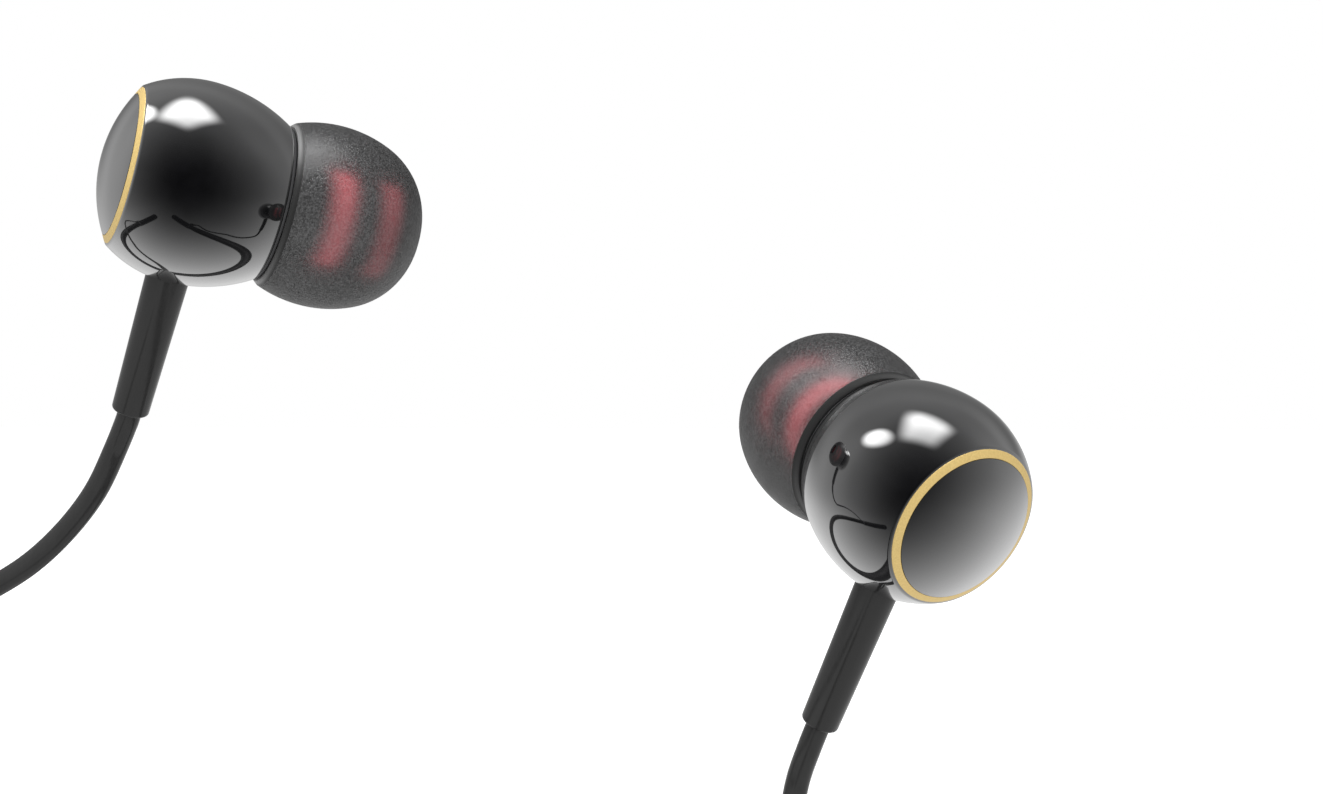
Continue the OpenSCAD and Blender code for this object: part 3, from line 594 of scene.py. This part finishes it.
LOOK = {
    "cap": gloss_black("cap_gloss"),
    "shell": gloss_black("shell_gloss"),
    "gold": gold("ring_gold"),
    "cover": plastic("cover_plastic", (0.035, 0.035, 0.037), (0.05, 0.05, 0.052), 0.5),
    "tip": silicone("tip_silicone", (0.01, 0.01, 0.01), (0.16, 0.16, 0.163), EDGE_Z * MM),
    "core": ribbed_core("core_silicone", (0.006, 0.006, 0.006), (0.74, 0.12, 0.145)),
    "sleeve": rubber("sleeve_rubber", (0.027, 0.027, 0.027), (0.031, 0.031, 0.031)),
    "cord": rubber("cord_rubber", (0.027, 0.027, 0.027), (0.031, 0.031, 0.031)),
    "band": plastic("band_silicone", (0.012, 0.012, 0.013), (0.018, 0.018, 0.019), 0.55),
    "arm": plastic("arm_plastic", (0.012, 0.012, 0.013), (0.018, 0.018, 0.02), 0.4),
    "button": plastic("button_plastic", (0.03, 0.03, 0.033), (0.04, 0.04, 0.043), 0.45),
    "collar": metal("collar_metal", (0.35, 0.35, 0.37)),
    "steel": metal("steel", (0.55, 0.56, 0.58)),
    "copper": metal("copper", (0.75, 0.35, 0.18)),
    "board": plastic("board_green", (0.02, 0.12, 0.06), (0.03, 0.16, 0.08), 0.35),
    "film": plastic("film", (0.5, 0.42, 0.24), (0.6, 0.5, 0.3), 0.3),
    "foam": plastic("foam", (0.4, 0.38, 0.33), (0.5, 0.47, 0.4), 0.8),
    "leads": plastic("lead_jacket", (0.25, 0.03, 0.025), (0.3, 0.04, 0.03), 0.4),
    "cell": plastic("cell_wrap", (0.3, 0.34, 0.4), (0.36, 0.4, 0.46), 0.35),
    "light": plastic("light_pipe", (0.75, 0.76, 0.78), (0.82, 0.83, 0.85), 0.2),
}


# ---- cords ----

def sleeve_out(side, d):
    return port_frame(side) @ Vector((0, 0, (SLEEVE_END + d) * MM))


def relief_out(side, d):
    return relief_frame(side) @ Vector((0, 0, (RELIEF_LEN + d) * MM))


def make_cord(side, route):
    points = [sleeve_out(side, 0), sleeve_out(side, LEAD_IN)]
    points += [Vector(p) * MM for p in route]
    points += [relief_out(side, LEAD_OUT), relief_out(side, 0)]
    path = smooth_path(points, 0.5 * MM)
    cord = tube(f"{side}_free_cord", path, (CORD_D / 2 * MM,), 28)
    dress(cord, LOOK["cord"], "neckband", f"{side}_cord", slot="cord")
    tuple(path[0])
    [tuple(p) for p in path]


# ---- bud ----

def make_housing(side):
    edge = 0.06
    outline = [(SEAT_R, 0), (REAR_R - edge, 0)]
    outline += arc(BELLY_REAR, REAR_ARC_R, edge, BELLY_Z, 44)
    outline += arc(BELLY_FRONT, FRONT_ARC_R, BELLY_Z, SHELL_LEN - edge, 44)[1:]
    inner_r = FRONT_ARC_R - SHELL_WALL
    mouth_z = BELLY_Z + math.sqrt(inner_r ** 2 - (MOUTH_R - BELLY_FRONT[0]) ** 2)
    outline += [(FRONT_R - edge, SHELL_LEN), (MOUTH_R, SHELL_LEN)]
    inner_front = arc(BELLY_FRONT, inner_r, mouth_z, BELLY_Z, 12)
    inner_rear = arc(BELLY_REAR, REAR_ARC_R - SHELL_WALL, BELLY_Z, SEAT_DEPTH, 12)
    outline += inner_front + inner_rear[1:] + [(SEAT_R, SEAT_DEPTH)]
    piece = lathe(f"{side}_shell", outline, bud_frame(side), 192)
    dress(piece, LOOK["shell"], "neckband", f"{side}_housing", slot="shell")


def make_ring(side):
    skirt, skirt_in, lip = SEAT_R - 0.03, SEAT_R - 0.4, 0.12
    outline = rounded([
        (RING_IN, -RING_RISE, 0.03), (RING_OUT, -0.04, 0.04), (RING_OUT, 0),
        (skirt, 0), (skirt, SEAT_DEPTH), (skirt_in, SEAT_DEPTH),
        (skirt_in, -lip), (RING_IN, -lip)])
    piece = lathe(f"{side}_trim_ring", outline, bud_frame(side), 192, 50)
    dress(piece, LOOK["gold"], "neckband", f"{side}_gold_ring", slot="ring")


def make_cap(side):
    dome_r = (CAP_R ** 2 + DOME_RISE ** 2) / (2 * DOME_RISE)
    centre_z = dome_r - DOME_RISE - CAP_EDGE
    half = math.asin(CAP_R / dome_r)
    steps = 40
    dome = [(dome_r * math.sin(half * k / steps), centre_z - dome_r * math.cos(half * k / steps))
            for k in range(steps + 1)]
    plug = SEAT_R - 0.43
    outline = dome + [(CAP_R, -0.12), (plug, -0.12), (plug, 0.9), (0, 0.9)]
    piece = lathe(f"{side}_cap", outline, bud_frame(side), 192, 45)
    dress(piece, LOOK["cap"], "neckband", f"{side}_rear_cap", slot="cap")


def make_cover(side):
    flange, flange_top = FRONT_R - 0.06, FRONT_R - 0.14
    plug, plug_in = MOUTH_R - 0.05, MOUTH_R - 0.42
    mesh_r = NOZZLE_BORE_R + 0.25
    chamber = plug_in - 0.53
    plug_z = SHELL_LEN - 2.45
    outline = rounded([
        (NOZZLE_BORE_R, FLANGE_Z - 0.7), (chamber, FLANGE_Z - 0.7),
        (chamber, DRIVER_TOP), (plug_in, DRIVER_TOP),
        (plug_in, plug_z), (plug, plug_z), (plug, SHELL_LEN), (flange, SHELL_LEN, 0.03),
        (flange_top, FLANGE_Z, 0.06), (NOZZLE_R, FLANGE_Z, 0.2),
        (NOZZLE_R, NOZZLE_TOP - 1.6, 0.1),
        (BARB_R, NOZZLE_TOP - 1.3, 0.1), (BARB_R, NOZZLE_TOP - 0.5, 0.1),
        (BARB_R - 0.3, NOZZLE_TOP, 0.1), (mesh_r, NOZZLE_TOP),
        (mesh_r, NOZZLE_TOP - 0.5), (NOZZLE_BORE_R, NOZZLE_TOP - 0.5)])
    piece = lathe(f"{side}_nozzle_cover", outline, bud_frame(side), 160)
    dress(piece, LOOK["cover"], "neckband", f"{side}_front_cover", slot="cover")


def make_tip(side):
    front_z = MID[1] + FRONT_DZ * MID_R / (MID_R - FRONT_TIP_R)
    inner_z = MID[1] + FRONT_DZ * (MID_R - SKIRT_T) / (MID_R - FRONT_TIP_R)
    crown_z, mouth_z = [FRONT_C[1] + math.sqrt(FRONT_TIP_R ** 2 - (r - FRONT_C[0]) ** 2)
                        for r in (TIP_MOUTH_R + 0.35, TIP_MOUTH_R)]
    outline = [(TIP_MOUTH_R, CAVITY_Z), (TIP_MOUTH_R, mouth_z - 0.35)]
    outline += [(TIP_MOUTH_R + 0.1, mouth_z - 0.15), (TIP_MOUTH_R + 0.2, mouth_z - 0.08)]
    outline += arc(FRONT_C, FRONT_TIP_R, crown_z, front_z, 48)
    outline += arc(MID, MID_R, front_z, EDGE_Z, 32)[1:]
    outline += [(5.62, TIP_BASE + 0.03), (5.58, TIP_BASE), (5.4, TIP_BASE),
                (5.36, TIP_BASE + 0.02)]     # chamfered rear edge
    outer, segments = len(outline), 192
    outline += arc(MID, MID_R - SKIRT_T, TIP_BASE + 0.08, inner_z, 32)
    outline += arc(FRONT_C, FRONT_TIP_R - SKIRT_T, inner_z, CAVITY_Z, 24)[1:]
    piece = lathe(f"{side}_silicone_tip", outline, bud_frame(side), segments, 25)
    inner = piece.data.attributes.new("inner", "FLOAT", "FACE")
    inner.data.foreach_set("value", [float(face >= outer * segments)
                                     for face in range(len(piece.data.polygons))])
    dress(piece, LOOK["tip"], f"{side}_tip", f"{side}_ear_tip", slot="tip")


def make_core(side):
    bore, seat = BARB_R + 0.05, NOZZLE_TOP + 0.3
    outline = [(bore, CORE_BASE), (CORE_R, CORE_BASE, 0.15)]
    for z in RIB_Z:
        outline += [(CORE_R, z - RIB_W / 2, 0.1), (CORE_R + RIB_H, z - RIB_W / 2, 0.3),
                    (CORE_R + RIB_H, z + RIB_W / 2, 0.3), (CORE_R, z + RIB_W / 2, 0.1)]
    outline += [(CORE_R, CAVITY_Z), (TIP_MOUTH_R, CAVITY_Z), (TIP_MOUTH_R, seat), (bore, seat)]
    piece = lathe(f"{side}_red_core", rounded(outline), bud_frame(side), 128, 50)
    dress(piece, LOOK["core"], f"{side}_tip", f"{side}_tip_core", slot="core")


def make_sleeve(side):
    bore, neck, end = CORD_D / 2 + 0.02, 1.05, SLEEVE_END
    top = SLEEVE_AT - 0.25     # the upper edge runs a little into the shell's belly
    outline = rounded([
        (bore, SLEEVE_AT - 1.2), (neck, SLEEVE_AT - 1.2), (neck, top), (SLEEVE_R, top),
        (SLEEVE_END_R, end, 0.22), (bore, end, 0.03)])
    piece = lathe(f"{side}_rubber_sleeve", outline, port_frame(side), 96, 50)
    dress(piece, LOOK["sleeve"], "neckband", f"{side}_cord_sleeve", slot="sleeve")


def wires(radius, pitch, wave):
    """Two crossed layers of wires that fill a disc, each a path and its sideways direction."""
    count, steps = int(radius / pitch), 24
    for i in range(-count, count + 1):
        off = i * pitch
        reach = math.sqrt(radius ** 2 - off ** 2)
        for along_x in (0, 1):
            path = []
            for k in range(steps + 1):
                t = -reach + 2 * reach * k / steps
                z = wave * math.cos(math.pi * (t / pitch + i + along_x))
                path.append(Vector((t, off, z) if along_x else (off, t, z)) * MM)
            yield path, Vector((0, 1, 0) if along_x else (1, 0, 0))


def make_mesh(side):
    """Woven wire over the nozzle's mouth."""
    wire_r, sides = 0.045 * MM, 6
    verts, faces = [], []
    for path, flat in wires(NOZZLE_BORE_R + 0.2, 0.26, 0.04):
        base = len(verts)
        for p in path:
            for k in range(sides):
                a = 2 * math.pi * k / sides
                verts.append(p + wire_r * (math.cos(a) * flat + math.sin(a) * Vector((0, 0, 1))))
        rings = [[base + i * sides + k for k in range(sides)] for i in range(len(path))]
        for ring, after in zip(rings, rings[1:]):
            faces += [[ring[k - 1], ring[k], after[k], after[k - 1]] for k in range(sides)]
        faces += [rings[0], rings[-1]]
    mesh = bpy.data.meshes.new("woven")
    mesh.from_pydata(verts, [], faces)
    at = bud_frame(side) @ Matrix.Translation((0, 0, (NOZZLE_TOP - 0.35) * MM))
    piece = object_of(f"{side}_woven_mesh", finished(mesh, 60), at)
    dress(piece, LOOK["steel"], "neckband", f"{side}_nozzle_mesh", slot="mesh")


# ---- neckband ----

def half_band(t):
    """The band's right half, from its middle at 0 to the arm's collar at 1."""
    p0, p1 = Vector((0, BAND_R, 0)), Vector((BAND_REACH, BAND_R, 0))
    out = arm_frame("right")
    p2 = out @ Vector((0, 0, (-COLLAR_T - BAND_PULL) * MM)) / MM
    p3 = out @ Vector((0, 0, -COLLAR_T * MM)) / MM
    s = 1 - t
    return (s ** 3 * p0 + 3 * s * s * t * p1 + 3 * s * t * t * p2 + t ** 3 * p3) * MM


def make_band():
    half = [half_band(k / 90) for k in range(91)]
    path = [Vector((-p.x, p.y, p.z)) for p in reversed(half[1:])] + half
    piece = tube("soft_band", path, (BAND_R * MM, BAND_BORE_R * MM), 48)
    dress(piece, LOOK["band"], "neckband", "band_sleeve", slot="band")


def make_button(name, z):
    """Round key with a soft edge and a shallow dish for the fingertip."""
    top, foot, flange = arm_out(z) + BUTTON_PROUD, 2.1, 2.9
    flange_r, dish_r, dish_depth, steps = BUTTON_R + 0.4, 1.3, 0.16, 8
    outline = rounded([
        (0, foot), (1, foot), (1, flange - 0.5), (flange_r, flange - 0.5), (flange_r, flange),
        (BUTTON_R, flange), (BUTTON_R, top, 0.3), (dish_r, top, 0.1)])
    outline += [(dish_r * k / steps, top - dish_depth * (1 - (k / steps) ** 2))
                for k in range(steps - 1, -1, -1)]
    at = arm_frame("right") @ Matrix.Translation((0, 0, z * MM)) @ turn((-90, 0, 0))
    piece = lathe(f"{name}_key", outline, at, 96, 50)
    body = {"rear": "rear_button", "mid": "middle_button", "front": "front_button"}[name]
    dress(piece, LOOK["button"], body, f"button_{name}", slot="button")


def make_relief(side):
    """Strain relief with soft rings."""
    boss_z, boss_top, root_r, groove, pitch = 2.2, 2.9, 1.7, 0.22, 0.7

    def taper(z):
        return RELIEF_R - 0.45 * (z - boss_top) / 3.8

    outline = [(0, -3), (1, -3), (1, 0), (root_r, 0), (root_r, boss_z), (BOSS_R, boss_z, 0.15),
               (BOSS_R, boss_top, 0.2)]
    for k in range(5):
        z = 3.1 + pitch * k
        outline += [(taper(z) - groove, z - 0.18, 0.06), (taper(z) - groove, z, 0.06),
                    (taper(z), z + 0.04, 0.1), (taper(z + 0.4), z + 0.42, 0.1)]
    outline += [(1.2, 6.75, 0.1), (1.05, RELIEF_LEN, 0.15), (0, RELIEF_LEN)]
    piece = lathe(f"{side}_ringed_relief", rounded(outline), relief_frame(side), 64, 50)
    dress(piece, LOOK["cord"], "neckband", f"{side}_strain_relief", slot="cord")


def make_seam(side):
    """Fine parting line between an arm's two shells."""
    heights = range(0, ARM_STRAIGHT + 1, 5)
    one_side = [Vector((arm_out(z), 0, z)) for z in heights]
    other_side = [Vector((-arm_out(z), 0, z)) for z in reversed(heights)]
    angles = [math.pi * k / 24 for k in range(1, 24)]
    round_end = [Vector((ARM_END_R * math.cos(a), 0, ARM_STRAIGHT + ARM_END_R * math.sin(a)))
                 for a in angles]
    path = [arm_frame(side) @ (p * MM) for p in one_side + round_end + other_side]
    piece = tube(f"{side}_arm_seam", path, (0.05 * MM,), 8)
    dress(piece, LOOK["cord"], "neckband", slot="cord")


# the look of each record slot that isn't named like its look
NODE_LOOKS = {
    "mesh": "steel", "damper": "foam", "driver_frame": "cover", "magnet": "steel",
    "yoke": "steel", "coil": "copper", "wire": "steel", "arm_under": "arm", "metal": "steel",
    "ring": "gold",
}


def dress_cad_nodes():
    """The CAD nodes that stay get the look of their record slot."""
    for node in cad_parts.values():
        for place in node.material_slots:
            slot = place.material.name.split(".")[0] if place.material else ""
            look = NODE_LOOKS.get(slot, slot)
            if look in LOOK:
                place.material = LOOK[look]


# ---- light and ground ----

FLOOR_Z = -40.1
MIDDLE = Vector((45, -38, 45)) * MM


# grey of the studio by height of the direction, for four values of its Y
STUDIO = (
    (-0.6, (1.15, 1.15, 1.16, 1.08, 0.90, 0.84, 0.86, 0.90, 0.86, 0.92, 0.80, 0.66, 0.62, 0.6)),
    (-0.1, (1.08, 1.08, 1.09, 1.06, 0.98, 0.74, 0.70, 0.68, 0.70, 0.70, 0.74, 0.62, 0.5, 0.4)),
    (0.4, (0.98, 0.98, 1.00, 1.00, 0.94, 0.74, 0.58, 0.54, 0.54, 0.48, 0.44, 0.34, 0.31, 0.38)),
    (0.8, (0.95, 0.94, 0.93, 0.92, 0.89, 0.85, 0.64, 0.46, 0.18, 0.18, 0.19, 0.19, 0.20, 0.34)))
HEIGHTS = (-1, -0.82, -0.68, -0.52, -0.38, -0.22, -0.08, 0.08, 0.22, 0.38, 0.52, 0.68, 0.82, 1)


def studio(tree, direction):
    """Grey of the studio in a direction: white below, dim overhead, and lighter in front."""
    parts = tree.split(direction)
    up = tree.spread(parts["Z"], 0, 1, -1, 1)
    grey, last = None, None
    for y, greys in STUDIO:
        here = tree.ramp(up, [((z + 1) / 2, value) for z, value in zip(HEIGHTS, greys)])
        if grey is not None:
            here = tree.blend(tree.spread(parts["Y"], 0, 1, last, y, SMOOTH), grey, here)
        grey, last = here, y
    return grey


def make_world():
    """White to the camera, and the studio in whatever mirrors it."""
    world = bpy.data.worlds.new("studio")
    world.use_nodes = True
    bpy.context.scene.world = world
    tree = Tree(world.node_tree)
    grey = studio(tree, tree.add("TexCoord").outputs["Generated"])
    seen = tree.add("LightPath").outputs["Is Camera Ray"]
    tree.link(tree.blend(seen, grey, WHITE), world.node_tree.nodes["Background"].inputs["Color"])


def make_floor():
    """Pale floor with the object's shadow; what mirrors it sees the studio's grey."""
    mesh = bpy.data.meshes.new("floor")
    size, z = 4, FLOOR_Z * MM
    mesh.from_pydata([(-size, -size, z), (size, -size, z), (size, size, z), (-size, size, z)],
                     [], [(0, 1, 2, 3)])
    floor = object_of("floor", mesh)
    s = Shader("floor_white")
    away = s.vector("SUBTRACT", s.add("NewGeometry").outputs["Position"], MIDDLE)
    s.set(Base_Color=(0.9, 0.9, 0.9), Roughness=0.9, Specular_IOR_Level=0.0, Emission_Color=WHITE,
          Emission_Strength=s.spread(s.vector("LENGTH", away), 0.12, 0.7, 0.1, 0.5, SMOOTH))
    glow = s.add("Emission")
    s.link(studio(s, s.vector("NORMALIZE", away)), glow.inputs["Color"])
    s.surface(s.mix_shader(s.add("LightPath").outputs["Is Camera Ray"],
                           glow.outputs["Emission"], s.main.outputs["BSDF"]))
    mesh.materials.append(s.material)


def square_fade(tree, off, core):
    """1 in a square light's core, falling to 0 at its edges."""
    return tree.math("MULTIPLY", *[tree.spread(o, 1, 0, core, 0.5, SMOOTH) for o in off])


def round_fade(tree, off, core):
    """1 in a round light's core, falling to 0 at its rim."""
    squares = [tree.math("POWER", o, 2) for o in off]
    return tree.spread(tree.math("SQRT", tree.math("ADD", *squares)), 1, 0, core, 0.5, SMOOTH)


def soft_light(name, at, aim, size, spin, radiance, fade, core):
    """Area light whose brightness falls off softly from its core to its edge."""
    data = bpy.data.lights.new(name, "AREA")
    data.shape, data.size, data.size_y = "RECTANGLE", size[0], size[1]
    data.energy = math.pi * size[0] * size[1] * radiance
    data.use_nodes = True
    tree = Tree(data.node_tree)
    parts = tree.split(tree.add("NewGeometry").outputs["Parametric"])
    off = [tree.math("ABSOLUTE", tree.math("SUBTRACT", parts[k], 0.5)) for k in (0, 1)]
    tree.link(fade(tree, off, core), data.node_tree.nodes["Emission"].inputs["Strength"])
    lamp = bpy.data.objects.new(name, data)
    turned = (aim - at).to_track_quat("-Z", "Y").to_matrix().to_4x4()
    spun = Matrix.Rotation(math.radians(spin), 4, "Z")
    lamp.matrix_world = Matrix.Translation(at) @ turned @ spun
    bpy.context.scene.collection.objects.link(lamp)


def make_lights():
    overhead = MIDDLE + Vector((0.07, -0.32, 1))
    soft_light("softbox", overhead, overhead - Vector((0, 0, 1)), (0.9, 0.9), -25, 9,
               square_fade, 0.17)
    soft_light("round_light", Vector((-168, -107, 353)) * MM, MIDDLE, (0.26, 0.165), 25, 10,
               round_fade, 0.18)


# ---- build ----

make_camera()
make_cord("left", LEFT_ROUTE)
make_cord("right", RIGHT_ROUTE)
for bud in SIDES:
    make_housing(bud)
    make_ring(bud)
    make_cap(bud)
    make_cover(bud)
    make_tip(bud)
    make_core(bud)
    make_sleeve(bud)
    make_mesh(bud)
    make_relief(bud)
    make_seam(bud)
for key, key_z in BUTTONS:
    make_button(key, key_z)
make_band()
dress_cad_nodes()
make_world()
make_floor()
make_lights()

bpy.context.scene.view_settings.view_transform = "Standard"
